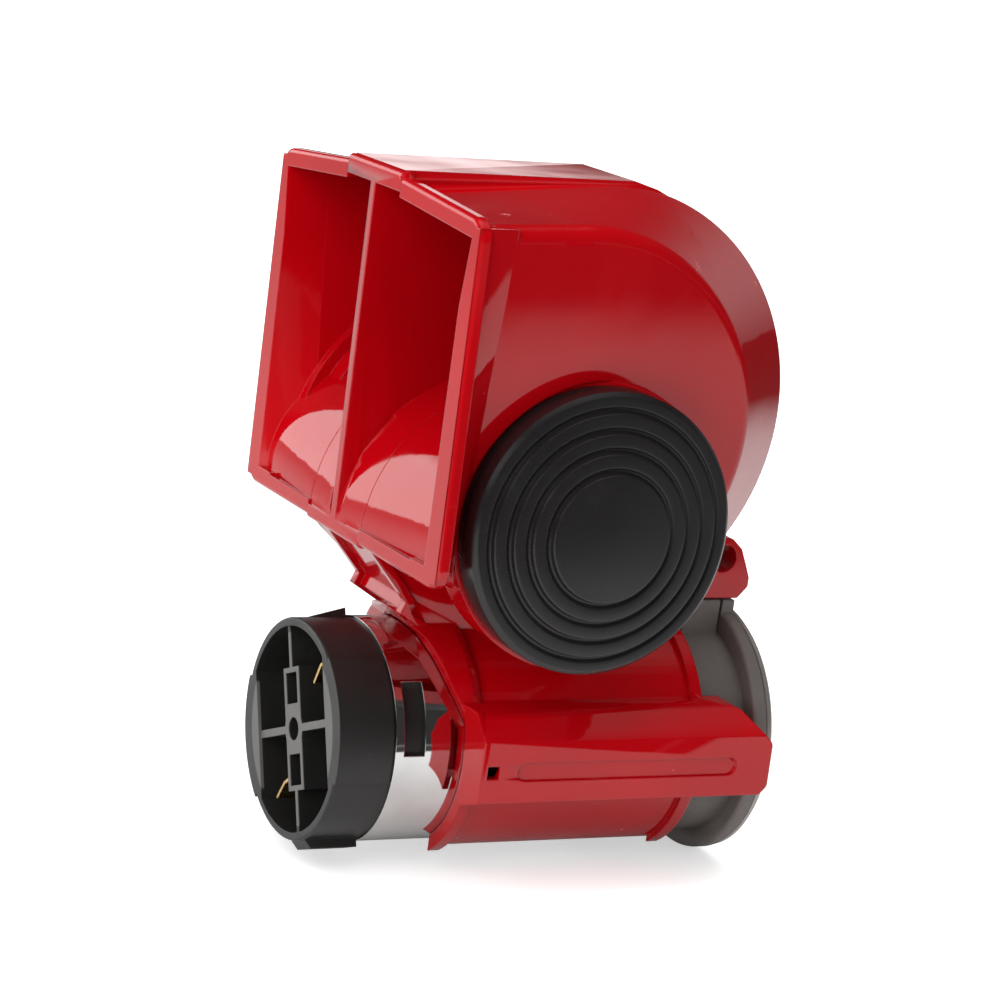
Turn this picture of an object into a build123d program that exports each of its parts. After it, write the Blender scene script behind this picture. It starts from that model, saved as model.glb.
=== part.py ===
from build123d import *
import math
import os

# Compact electric air horn: two folded trumpets side by side on a cradle that holds a small compressor.
# Millimetres. The horn is laid out from its motor: X runs back along the motor axis from the face of the
# end cap, Y runs across, Z is up, and the trumpet mouths face -X. Each finished piece is then moved so
# that the middle of the mounting hole is the origin.

# Trumpet mouth
MOUTH_X = 4.6
MOUTH_TOP = 106.0            # top of the wall at the seam
MOUTH_TOP_SIDE = 103.6       # and at the outer side
MOUTH_BOTTOM = 39.6
LIP_DEPTH = 2.4
LIP_PROUD = 1.3              # above and below the walls behind it
LIP_SIDE_PROUD = 0.3
LIP_WIDTH = 4.6
LIP_CORNER = 4.0
LIP_ROUND = 1.0

# Trumpet body: the outline is a circle with two tangents to the mouth, smaller on the outer side
WALL = 2.4
SNAIL_X = 50.0
SNAIL_Z = 66.0
SNAIL_R = 42.6
OUTER_X = 24.1
OUTER_Z = 69.6
OUTER_R = 34.0
SIDE_RUN = 0.13              # how fast the side face closes in towards the back
SIDE_FALL = 0.136            # and towards the bottom
SHOULDER = 3.0               # rounding between the side face and the outer wall
FLARE_X = 13.0               # where the side wall has flared in from the mouth

# Middle moulding and the two outer shells
LEFT_SEAM = 9.0              # distance from the motor axis to each seam
RIGHT_SEAM = 14.0
LEFT_REACH = 33.0            # from the seam to the outer edge of the mouth
RIGHT_REACH = 30.0
PARTITION_Y = 2.5
PARTITION = 2.0
BAND_RISE = 1.0
PAD_TOP = 109.4
PAD_FRONT_TOP = 108.5
PAD_END_X = 63.0
PAD_FLAT_X = 54.0
PAD_INSET = 1.0
PAD_BEND_X = 59.0
PAD_BEND_Z = 108.1
PAD_END_Z = 106.4

# Inner coil wall, a tapering drum that makes the floor of each mouth
DRUM_X = 36.0
DRUM_Z = 38.5
DRUM_R = 31.5
DRUM_END_X = 29.0
DRUM_END_Z = 44.1
DRUM_END_R = 22.7
DRUM_LENGTH = 42.5

# Diaphragm chamber and its cover
COVER_X = 38.8
COVER_Z = 48.7
COVER_R = 26.6
COVER_SKIRT = 6.5
COVER_DOME = 3.1
COVER_BELOW_MOUTH = 2.1      # how far the cover's rim lies inside the outer edge of the mouth
STEP_INSETS = (2.9, 6.5, 10.0, 13.7)  # of the four steps, from the edge of the cover
COVER_GROOVE = 0.7
COVER_WALL = 1.8
POCKET_GAP = 0.7
CLAMP = 2.2                  # width of the diaphragm's clamped edge
CHAMBER_DEPTH = 5.0
COVER_RIM = 1.8              # of the cover, round the diaphragm
DIAPHRAGM = 0.3
GASKET = 1.0
NOZZLE_R = 6.4
NOZZLE_GAP = 0.4
THROAT_R = 3.4
THROAT_WALL = 2.0
THROAT_END_X = 61.0
THROAT_END_Z = 35.5
THROAT_END_DEPTH = 6.0
GALLERY_END_Z = 36.5

# Cradle: two jaws that clip round the motor and leave its underside open
CRADLE_FRONT = 25.7
CRADLE_BACK = 76.7
CRADLE_WALL = 1.7
COLLAR = 1.0                 # rise of the end collars over the wall
COLLAR_WIDTH = 2.4
JAW_HALF = 12.5              # half the width of the open underside
FIT_GAP = 0.1                # between the cradle bore and what it holds
SADDLE_TIP_X = 16.3
SADDLE_TIP_Z = 27.4
SADDLE_UNDER_X = 15.4
SADDLE_UNDER_Z = 25.2
SADDLE_HEEL_X = 24.3
SADDLE_HEEL_Z = 19.8
NECK_BACK_X = 58.6           # the top of the neck lies inside the coil wall
NECK_FRONT_X = 13.4
NECK_FRONT_Z = 42.5
WEB = 2.0                    # thickness of the two cheeks that the saddle shows at the front
WEB_RECESS = 1.4
BEAD = 2.4                   # raised border along the front edge of each cheek
BEAD_RISE = 0.8

# Side channels
CHANNEL_Y = 32.0
CHANNEL_TOP = 7.0
CHANNEL_BOTTOM = 4.9
CHANNEL_SHOULDER = 11.4
CHANNEL_FRONT = 24.4
CHANNEL_BACK = 87.6
CHANNEL_WALL = 2.0
CHANNEL_RECESS = 0.6
CHANNEL_CORNER = 1.6
CHANNEL_LEAN = 1.5           # the sloping wall is thicker by this
GROOVE_LENGTH = 48.032
GROOVE_WIDTH = 3.57
WINDOW = 2.5

# Mounting ear
EAR_HALF = 6.5
EAR_BOTTOM = 27.5
EAR_BACK = 93.3
EAR_NOTCH = 2.1              # cut off its lower back corner
EAR_HEEL = 29.9
EAR_SIDE_TOP = 31.7
EAR_ROUND = ((92.1, 34.5), (90.7, 37.6), (88.3, 39.7), (83.9, 40.1))
EAR_ROOT_X = 54.0
EAR_CREST_X = 70.0
EAR_ROOT_Z = 37.6
MOUNT_X = 86.9
MOUNT_Z = 35.6
MOUNT_R = 2.75
PRESS_GAP = 0.02
CLEARANCE = 0.3              # round loose parts that must not touch

# Motor
MOTOR_TURN = 22.0            # the motor is clocked in the cradle by this angle
CAN_R = 21.6
CAN_WALL = 1.2
CAP_STEP = 0.4               # the cap is this much smaller than the can
CAP_DEPTH = 11.6
CAP_WALL = 1.6
CAP_FLOOR = 2.0
CAP_SPIGOT = 8.0
CAP_FLAT = 15.2              # inner flats, from the axis
CAP_PANEL = 0.5              # raised side panels
CAP_PANEL_ANGLE = 66.0
CAP_TAB = 1.6
CAP_TAB_WIDTH = 6.0
RIB = 1.5
THIN_RIB = 1.05
RIB_SET_BACK = 0.5
HUB_R = 3.8
TERMINAL = 0.6
TERMINAL_FRONT = 1.5
TERMINALS = (((-8.0, 8.2), (-11.3, 11.1), (-13.8, 11.5)), ((11.1, -12.3), (7.5, -9.8), (5.2, -9.2)))
POCKET_HALF = 3.4
POCKET_END = 11.7
POCKET_WALL = 1.0
CAN_END = 64.0
SLOT_FRONT = 13.4
SLOT_BACK = 17.7
SLOT_HALF = 6.9
SHAFT_R = 1.585
BUSH_GAP = 0.03
BUSH_R = 3.2
BUSH = 4.5
MOTOR_SCREW_Z = 9.0
CORE_R = 16.3
CORE_FRONT = 29.0
CORE_BACK = 52.0
MAGNET = 3.4
MAGNET_ARC = 130.0
COMMUTATOR_R = 4.6
COMMUTATOR_FRONT = 14.0
COMMUTATOR_BACK = 21.5
COMMUTATOR_SLIT = 0.5
COMMUTATOR_SLIT_DEPTH = 0.6
POLES = 5
BRUSH_LENGTH = 6.0           # along its travel
BRUSH_WIDTH = 4.4            # along the shaft
BRUSH_HEIGHT = 3.6
ARM = 0.4                    # spring strip
ARM_FOOT = 1.2
ARM_FOOT_X = 0.6             # behind the cap
ARM_ROOT = 1.0               # the strip leaves its foot this far inside the spigot
ARM_SEAT = 0.55              # and this far inside lies the middle of the foot
ARM_BEND = 2.4               # the strip runs back this far before it turns to the brush
ARM_TURN = 1.6
ARM_OFF = 0.25               # from the back of the brush to the middle of the strip
MAGNET_OVERHANG = 2.0
SLOT_CENTRE_R = 10.758         # winding slots
SLOT_DEEP = 7.4
SLOT_WIDE = 6.0
SLOT_CORNER = 1.2
SLOT_MOUTH = 1.4
SLOT_MOUTH_DEPTH = 2.2
INSULATION = 0.2
END_TURNS = 4.1
END_TURNS_R = 14.67
END_TURNS_BORE = 4.755
END_TURNS_ROUND = 1.6
SHAFT_FRONT = 2.0            # how far the shaft reaches past the front bush
SHAFT_END = 89.7
SHAFT_CHAMFER = 0.3

# Pump
FLANGE_FRONT = 87.7
FLANGE_BACK = 90.9
FLANGE_R = 25.5
PUMP_COVER = 1.4
PUMP_COVER_R = 25.2
PUMP_FLOOR = 79.5
FLANGE_ROUND = 0.8
COVER_CHAMFER = 0.6
COVER_HUB_R = 12.6
COVER_HUB = 1.2
BORE_R = 14.0
BORE_OFFSET = 1.4
ROTOR_R = 12.2
ROTOR_GAP = 0.25
VANES = 4
VANE = 1.8
VANE_DEPTH = 6.0
VANE_REST = 0.8              # how far a blade lies inside the rotor's edge
RISER_HALF = 7.0
RISER_FRONT = 79.0
RISER_FOOT = 10.0            # buried in the barrel
RISER_GROOVE = 0.6           # down each side, between the post and the flange's plate
RISER_GROOVE_DEPTH = 2.0
PLATE_SET_BACK = 0.5
RISER_BORE = 2.6
OUTLET_R = 2.0
SPIGOT_R = 4.0
SPIGOT_RISE = 3.0
SEAL = 1.2
SCREW_R = 1.5
HEAD_R = 2.8
HEAD = 1.8
SCREW_CIRCLE = 18.4
COVER_SCREW_R = 1.3
SCREW_REACH = 6.0
VANE_SIDE = 0.1
VANE_OFFSET = 3.05            # the slots lie beside the shaft

EXTRA = 1.0                  # how far cutting tools run past a face
FINE = 0.01                  # keeps a face from lying on its neighbour's


def side(depth):
    """Plane across the horn, at this distance towards -Y from the motor axis."""
    return Plane.XZ.offset(depth)


def tangent_point(point, centre, radius, turn):
    """Where the line from a point touches a circle, on the side that turn (+1 or -1) names."""
    dx = point[0] - centre[0]
    dz = point[1] - centre[1]
    angle = math.atan2(dz, dx) + turn * math.acos(radius / math.hypot(dx, dz))
    return (centre[0] + radius * math.cos(angle), centre[1] + radius * math.sin(angle))


def snail_face(depth, front, top, bottom, centre, radius):
    """Trumpet outline: the mouth line, two tangents and the round back."""
    upper = tangent_point((front, top), centre, radius, -1)
    lower = tangent_point((front, bottom), centre, radius, 1)
    outline = Polyline(lower, (front, bottom), (front, top), upper)
    outline += ThreePointArc(upper, (centre[0] + radius, centre[1]), lower)
    return side(depth) * make_face(outline)


def seam_face(depth, inset, front=MOUTH_X, rise=0.0):
    """Outline of the trumpet body at the seam."""
    return snail_face(depth, front, MOUTH_TOP + rise - inset, MOUTH_BOTTOM - rise + inset,
                      (SNAIL_X, SNAIL_Z), SNAIL_R - inset)


def outer_face(depth, inset, front=MOUTH_X):
    """Outline of the trumpet body just beyond its outer side, before the side face cuts it."""
    return snail_face(depth, front, MOUTH_TOP_SIDE - inset, MOUTH_BOTTOM + inset,
                      (OUTER_X, OUTER_Z), OUTER_R - inset)


def side_depth(x, z, reach):
    """How far out from the seam the side face lies at this place."""
    return reach - LIP_SIDE_PROUD - SIDE_RUN * (x - MOUTH_X) - SIDE_FALL * (MOUTH_TOP_SIDE - z)


def side_plane(reach, inset):
    """The side face, leaning in towards the back and the bottom."""
    slope = math.sqrt(1 + SIDE_RUN ** 2 + SIDE_FALL ** 2)
    origin = (MOUTH_X, inset * slope - (reach - LIP_SIDE_PROUD), MOUTH_TOP_SIDE)
    return Plane(origin=origin, z_dir=(SIDE_RUN, -1, -SIDE_FALL))


def body_loft(reach, inset, front=MOUTH_X):
    """Trumpet body from its seam out to the side face, all of it this much inside the outer surface."""
    body = loft([seam_face(0, inset, front), outer_face(reach + EXTRA, inset, front)], ruled=True)
    return split(body, bisect_by=side_plane(reach, inset), keep=Keep.BOTTOM)


def drum(start, end, inset=0.0):
    """The tapering coil wall between two depths, counted outwards from a seam."""
    faces = []
    for depth in (start, end):
        along = (depth + RIGHT_SEAM - PARTITION_Y) / DRUM_LENGTH
        x = DRUM_X + (DRUM_END_X - DRUM_X) * along
        z = DRUM_Z + (DRUM_END_Z - DRUM_Z) * along
        radius = DRUM_R + (DRUM_END_R - DRUM_R) * along - inset
        faces.append(side(depth) * Pos(x, z) * Circle(radius))
    return loft(faces, ruled=True)


def mouth_section(x, inner, outer_top, outer_bottom, top, bottom):
    """Four-cornered section across a trumpet at x; the outer side may lean."""
    points = [(-inner, bottom), (-outer_bottom, bottom), (-outer_top, top), (-inner, top)]
    return Plane.YZ.offset(x) * make_face(Polyline(*points, close=True))


def flare(reach, inset, front, start, margin):
    """The side wall swings out from the side face to the rim of the mouth."""
    top = MOUTH_TOP_SIDE - inset
    bottom = MOUTH_BOTTOM + inset
    rim = reach - margin
    back_top = side_depth(FLARE_X, top, reach) - inset
    back_bottom = side_depth(FLARE_X, bottom, reach) - inset
    at_mouth = mouth_section(front, start, rim, rim, top, bottom)
    at_back = mouth_section(FLARE_X, start, back_top, back_bottom, top, bottom)
    return loft([at_mouth, at_back], ruled=True)


def lip(inner, outer, top_in, top_out, bottom, corners):
    """Rim round the mouth, standing proud of the walls behind it."""
    points = [(-inner, bottom), (-outer, bottom), (-outer, top_out), (-inner, top_in)]
    frame = make_face(Polyline(*points, close=True))
    if corners:
        frame = fillet(frame.vertices().sort_by(Axis.X)[:2], LIP_CORNER)
    rim = extrude(Plane.YZ.offset(MOUTH_X) * frame, LIP_DEPTH)
    front = rim.faces().sort_by(Axis.X)[0].edges()
    return fillet(front.filter_by(lambda e: e.center().Y < -inner - FINE and e.center().Y < outer), LIP_ROUND)


def rod(start, end, radius):
    """Round bar between two points."""
    path = Vector(*end) - Vector(*start)
    return extrude(Plane(origin=start, z_dir=path) * Circle(radius), path.length)


def disc(depth, thickness, radius):
    """Flat round on the diaphragm axis, from this depth outwards."""
    return extrude(side(depth) * Pos(COVER_X, COVER_Z) * Circle(radius), thickness)


def diaphragm_r():
    return COVER_R - COVER_RIM


def chamber_r():
    return diaphragm_r() - CLAMP


def cover_seat(reach):
    """Depth of the face that the cover sits on."""
    return reach - COVER_BELOW_MOUTH - COVER_SKIRT


def trumpet_shell(reach):
    """Outer half of one trumpet, built with its seam at Y = 0 and its side towards -Y."""
    seat = cover_seat(reach)
    body = body_loft(reach, 0)
    shoulder = body.edges().filter_by(GeomType.CIRCLE, reverse=True).filter_by(
        lambda e: e.center().Y < -reach / 2 and e.center().X > FLARE_X)
    body = fillet(shoulder, SHOULDER)
    outer = body + flare(reach, 0, MOUTH_X, WALL, LIP_SIDE_PROUD)
    rim = lip(0, reach, MOUTH_TOP + LIP_PROUD, MOUTH_TOP_SIDE + LIP_PROUD, MOUTH_BOTTOM - LIP_PROUD, True)

    passage = body_loft(reach, WALL, MOUTH_X - EXTRA)
    passage += flare(reach, WALL, MOUTH_X - EXTRA, 0, LIP_WIDTH)
    passage -= drum(-EXTRA, reach)
    core = drum(0, seat - CHAMBER_DEPTH - 2 * WALL, WALL)
    core &= body_loft(reach, WALL)

    cup = disc(seat - CHAMBER_DEPTH - WALL, CHAMBER_DEPTH + WALL, COVER_R + POCKET_GAP)
    backing = disc(seat - WALL, reach - seat, COVER_R + POCKET_GAP + WALL) & outer
    foot = (COVER_X, -(seat - CHAMBER_DEPTH - WALL), COVER_Z)
    end = (THROAT_END_X, -THROAT_END_DEPTH, THROAT_END_Z)
    tube = rod(foot, end, THROAT_R + THROAT_WALL)

    shell = (outer + rim) - passage - core
    shell += tube & body
    shell += cup + backing
    shell -= disc(seat, reach, COVER_R + POCKET_GAP)
    shell -= disc(seat - CHAMBER_DEPTH, reach, chamber_r())
    shell += disc(seat - CHAMBER_DEPTH, CHAMBER_DEPTH - NOZZLE_GAP, NOZZLE_R)
    shell -= rod((COVER_X, -seat, COVER_Z), foot, THROAT_R)
    shell -= rod(foot, end, THROAT_R)
    return shell.solids().sort_by(SortBy.VOLUME)[-1]


def diaphragm_cover(reach):
    """Round cap with a stepped face, hollow inside, clamping the gasket with its inner shoulder."""
    top = COVER_SKIRT + COVER_DOME
    step = COVER_DOME / len(STEP_INSETS)
    height = COVER_SKIRT
    points = [(0, top)]
    rings = []
    for inset in STEP_INSETS:
        rings.append((COVER_R - inset, height))
        height += step
    for radius, level in reversed(rings):
        points.append((radius - COVER_GROOVE, level + step))
        points.append((radius - COVER_GROOVE, level - COVER_GROOVE / 2))
        points.append((radius, level - COVER_GROOVE / 2))
        points.append((radius, level))
    points.append((COVER_R - COVER_GROOVE, COVER_SKIRT))
    points.append((COVER_R, COVER_SKIRT - COVER_GROOVE))
    clamp = DIAPHRAGM + GASKET
    inside = COVER_SKIRT - COVER_WALL
    pocket = diaphragm_r() + FIT_GAP
    points += [(COVER_R, 0), (pocket, 0), (pocket, clamp), (chamber_r(), clamp)]
    points += [(chamber_r(), inside), (COVER_R - STEP_INSETS[-1], inside + step), (0, inside + step)]
    profile = Plane.XZ * make_face(Polyline(*points, close=True))
    cap = revolve(profile, Axis.Z)
    place = Plane(origin=(COVER_X, -cover_seat(reach), COVER_Z), x_dir=(1, 0, 0), z_dir=(0, -1, 0))
    return place * cap


def diaphragm(reach):
    return disc(cover_seat(reach), DIAPHRAGM, diaphragm_r())


def diaphragm_gasket(reach):
    seat = cover_seat(reach) + DIAPHRAGM
    return disc(seat, GASKET, diaphragm_r()) - disc(seat - EXTRA, GASKET + 2 * EXTRA, chamber_r())


def along_x(start, length, face):
    """A section across the motor axis, drawn with +Y to the right and +Z up, run back from start."""
    return extrude(Plane.YZ.offset(start) * face, length)


def ring(start, length, outer, inner=0.0):
    """Round or ring-shaped bar on the motor axis."""
    face = Circle(outer)
    if inner:
        face -= Circle(inner)
    return along_x(start, length, face)


def arc_band(outer, inner, middle, spread):
    """Face of a ring cut to a sector: middle and spread are angles from +Y towards +Z."""
    reach = 2 * outer
    edges = [middle + spread * share for share in (-0.5, -0.25, 0, 0.25, 0.5)]
    fan = [(reach * math.cos(math.radians(a)), reach * math.sin(math.radians(a))) for a in edges]
    return (Circle(outer) - Circle(inner)) & make_face(Polyline((0, 0), *fan, close=True))


def block_xz(points, left, right):
    """Outline in X and Z, run across from Y = left to Y = right."""
    return extrude(side(-right) * make_face(Polyline(*points, close=True)), right - left)


def channel_section(inset):
    """Section of a side channel on the +Y side; its inner side is closed by the cradle."""
    side_y = CHANNEL_Y - inset
    shoulder_y = CHANNEL_Y - (CHANNEL_SHOULDER - CHANNEL_TOP)
    lean = CHANNEL_LEAN * inset
    points = [(0, inset - CHANNEL_BOTTOM), (side_y, inset - CHANNEL_BOTTOM),
              (side_y, CHANNEL_TOP - inset), (shoulder_y - inset, CHANNEL_SHOULDER - lean),
              (0, CHANNEL_SHOULDER - lean)]
    return make_face(Polyline(*points, close=True))


def side_channel():
    """Hollow beam along the cradle, open at its front end, with a shallow groove and a small window."""
    tube_r = cradle_bore() + CRADLE_WALL
    beam = along_x(CHANNEL_FRONT, CHANNEL_BACK - CHANNEL_FRONT, channel_section(0))
    slant = CHANNEL_SHOULDER - CHANNEL_TOP + CHANNEL_CORNER
    ends = [(CHANNEL_FRONT, -CHANNEL_BOTTOM), (CHANNEL_BACK - CHANNEL_CORNER, -CHANNEL_BOTTOM),
            (CHANNEL_BACK, CHANNEL_CORNER - CHANNEL_BOTTOM), (CHANNEL_BACK, CHANNEL_TOP - CHANNEL_CORNER),
            (CHANNEL_BACK - slant, CHANNEL_SHOULDER), (CRADLE_FRONT, CHANNEL_SHOULDER)]
    outline = block_xz(ends, 0, CHANNEL_Y + EXTRA)
    corners = outline.edges().filter_by(Axis.Y).filter_by(lambda e: e.center().X > CRADLE_BACK)
    beam &= fillet(corners, CHANNEL_CORNER)
    length = CHANNEL_BACK - CHANNEL_FRONT - 2 * CHANNEL_WALL
    hollow = along_x(CHANNEL_FRONT - EXTRA, length + EXTRA, channel_section(CHANNEL_WALL))
    hollow -= ring(0, 2 * CHANNEL_BACK, tube_r)
    beam -= hollow
    beam -= ring(0, CRADLE_FRONT, tube_r + COLLAR)
    beam -= ring(CRADLE_FRONT - EXTRA, CHANNEL_BACK, tube_r - CRADLE_WALL / 2)
    middle = (CHANNEL_TOP - CHANNEL_BOTTOM) / 2
    groove = SlotOverall(GROOVE_LENGTH, GROOVE_WIDTH)
    start = side(-CHANNEL_Y) * Pos((CHANNEL_FRONT + CHANNEL_BACK) / 2, middle)
    beam -= extrude(start * groove, CHANNEL_RECESS)
    window = Pos(CHANNEL_FRONT + WINDOW, CHANNEL_Y, middle) * Box(WINDOW, 4 * CHANNEL_WALL, WINDOW)
    return beam - window


def cradle_bore():
    return CAN_R + FIT_GAP


def saddle_front(inset):
    """Front of the saddle from the mouth down to the motor, moved back by inset."""
    return [(MOUTH_X + 1 + inset, MOUTH_BOTTOM), (SADDLE_TIP_X + inset, SADDLE_TIP_Z),
            (SADDLE_UNDER_X + inset, SADDLE_UNDER_Z), (SADDLE_HEEL_X + inset, SADDLE_HEEL_Z)]


def cradle():
    """Two jaws round the motor with a collar at each end and a hood over the front."""
    tube_r = cradle_bore() + CRADLE_WALL
    collar_r = tube_r + COLLAR
    tube = ring(CRADLE_FRONT, CRADLE_BACK - CRADLE_FRONT, tube_r)
    tube += ring(CRADLE_FRONT, COLLAR_WIDTH, collar_r)
    tube += ring(CRADLE_BACK - COLLAR_WIDTH, COLLAR_WIDTH, collar_r)
    hood = ring(SADDLE_UNDER_X, CRADLE_FRONT - SADDLE_UNDER_X + EXTRA, collar_r)
    outline = saddle_front(0)[2:] + [(CRADLE_FRONT, CHANNEL_TOP), (CRADLE_FRONT + EXTRA, CHANNEL_TOP)]
    outline += [(CRADLE_FRONT + EXTRA, 2 * tube_r), (SADDLE_UNDER_X, 2 * tube_r)]
    hood &= block_xz(outline, -collar_r, collar_r)
    return tube + hood


def saddle():
    """Neck between the trumpets and the cradle: two beaded cheeks with a recessed front between them."""
    back = [(CRADLE_BACK, SADDLE_HEEL_Z), (CRADLE_BACK, EAR_BOTTOM + SPIGOT_RISE),
            (NECK_BACK_X, DRUM_Z), (NECK_FRONT_X, NECK_FRONT_Z)]
    neck = block_xz(saddle_front(0) + back, BEAD_RISE - LEFT_SEAM, RIGHT_SEAM - BEAD_RISE)
    bead = block_xz(saddle_front(0) + saddle_front(BEAD)[::-1], -LEFT_SEAM, RIGHT_SEAM)
    front = [(0, SADDLE_HEEL_Z), (0, MOUTH_BOTTOM)]
    recess = block_xz(saddle_front(WEB_RECESS) + front, WEB - LEFT_SEAM, RIGHT_SEAM - WEB)
    return neck + bead - recess


def ear():
    """Rounded lug at the back, with the mounting hole across it."""
    under = [(EAR_ROOT_X, EAR_BOTTOM), (EAR_BACK - EAR_NOTCH, EAR_BOTTOM), (EAR_BACK, EAR_HEEL)]
    outline = under + [(EAR_BACK, EAR_SIDE_TOP), *EAR_ROUND, (EAR_CREST_X, EAR_ROOT_Z)]
    lug = block_xz(outline, -EAR_HALF, EAR_HALF)
    corners = lug.edges().filter_by(Axis.Y).filter_by(lambda e: e.center().X > MOUNT_X - EAR_HALF)
    return fillet(corners, LIP_ROUND)


def label_pad():
    """Flat pad on the middle band; its back end rounds off where the band curves down."""
    points = [(MOUTH_X + LIP_ROUND, MOUTH_TOP - WALL), (MOUTH_X + LIP_ROUND, PAD_FRONT_TOP),
              (PAD_FLAT_X, PAD_TOP), (PAD_BEND_X, PAD_BEND_Z), (PAD_END_X, PAD_END_Z),
              (PAD_END_X, MOUTH_TOP - 2 * WALL)]
    return block_xz(points, PAD_INSET - LEFT_SEAM, RIGHT_SEAM - PAD_INSET)


def centre_housing():
    """Middle moulding: dividing wall, coil wall, saddle, motor cradle, side channels and ear."""
    width = LEFT_SEAM + RIGHT_SEAM
    body = extrude(seam_face(-RIGHT_SEAM, 0, MOUTH_X, BAND_RISE), width)
    top = MOUTH_TOP + LIP_PROUD + BAND_RISE
    rim = lip(-RIGHT_SEAM, LEFT_SEAM, top, top, MOUTH_BOTTOM - LIP_PROUD - BAND_RISE / 2, False)
    solid = body + rim + label_pad() + saddle() + cradle() + ear()
    channel = side_channel()
    solid += channel
    solid += mirror(channel, about=Plane.XZ)

    half = (width - PARTITION) / 2
    hollow = extrude(seam_face(0, WALL, MOUTH_X - EXTRA, BAND_RISE), -half)
    wall = drum(-half - EXTRA, EXTRA)
    wall -= drum(-half - 2 * EXTRA, 2 * EXTRA, WALL)
    hollow -= wall
    solid -= Pos(0, -LEFT_SEAM, 0) * hollow
    solid -= Pos(0, RIGHT_SEAM, 0) * mirror(hollow, about=Plane.XZ)

    solid += gallery(SPIGOT_R + CLEARANCE) & body
    solid -= gallery(RISER_BORE)
    socket_r = SPIGOT_R + FIT_GAP
    socket = Pos(riser_x(), 0, EAR_BOTTOM) * Cylinder(socket_r, 2 * (SPIGOT_RISE + CLEARANCE))
    solid -= socket
    solid -= ring(0, CRADLE_BACK + EXTRA, cradle_bore())
    solid -= ring(CRADLE_BACK, EXTRA + CHANNEL_BACK - CRADLE_BACK, CAN_R + 2 * FIT_GAP)
    below = side(JAW_HALF) * Pos(SNAIL_X, -CAN_R) * Rectangle(2 * SNAIL_X, 2 * CAN_R)
    solid -= extrude(below, -2 * JAW_HALF)
    hole = Pos(MOUNT_X, 0, MOUNT_Z) * Rot(90, 0, 0) * Cylinder(MOUNT_R, 4 * EAR_HALF)
    return (solid - hole).solids().sort_by(SortBy.VOLUME)[-1]


def riser_x():
    return (RISER_FRONT + FLANGE_FRONT) / 2


def gallery(radius):
    """Air way from the riser socket up into the coil core."""
    start = (riser_x(), 0, EAR_BOTTOM + SPIGOT_RISE + SPIGOT_R)
    end = (SNAIL_X, PARTITION_Y, GALLERY_END_Z)
    down = (riser_x(), 0, EAR_BOTTOM)
    return rod(start, end, radius) + rod(down, start, radius) + Pos(*start) * Sphere(radius)


def turned(shape):
    """Clock a motor piece round the motor axis."""
    return Rot(-MOTOR_TURN, 0, 0) * shape


def motor_can():
    """Deep-drawn can with a closed back end and a cooling slot in each side."""
    can = ring(CAP_DEPTH, CAN_END - CAP_DEPTH, CAN_R)
    can = fillet(can.edges().filter_by(GeomType.CIRCLE).sort_by(Axis.X)[-1], CAN_WALL)
    can -= ring(CAP_DEPTH - EXTRA, CAN_END - CAP_DEPTH + EXTRA - CAN_WALL, CAN_R - CAN_WALL)
    can += ring(rear_bush_x(), CAN_END - rear_bush_x() - FINE, BUSH_R + CAN_WALL)
    can -= ring(rear_bush_x() - EXTRA, CAN_END - rear_bush_x() + EXTRA - CAN_WALL, BUSH_R)
    can -= ring(CAN_END - 2 * CAN_WALL, 3 * CAN_WALL, 2 * SHAFT_R)
    slot = Pos((SLOT_FRONT + SLOT_BACK) / 2, 0, 0) * Box(SLOT_BACK - SLOT_FRONT, 3 * CAN_R, 2 * SLOT_HALF)
    screws = along_x(CAN_END - 2 * CAN_WALL, 3 * CAN_WALL, motor_screw_spots(SCREW_R))
    return turned(can - slot - screws)


def motor_screw_spots(radius):
    return Sketch() + [Pos(0, z) * Circle(radius) for z in (-MOTOR_SCREW_Z, MOTOR_SCREW_Z)]


def rear_bush_x():
    return CAN_END - CAN_WALL - BUSH


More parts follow.
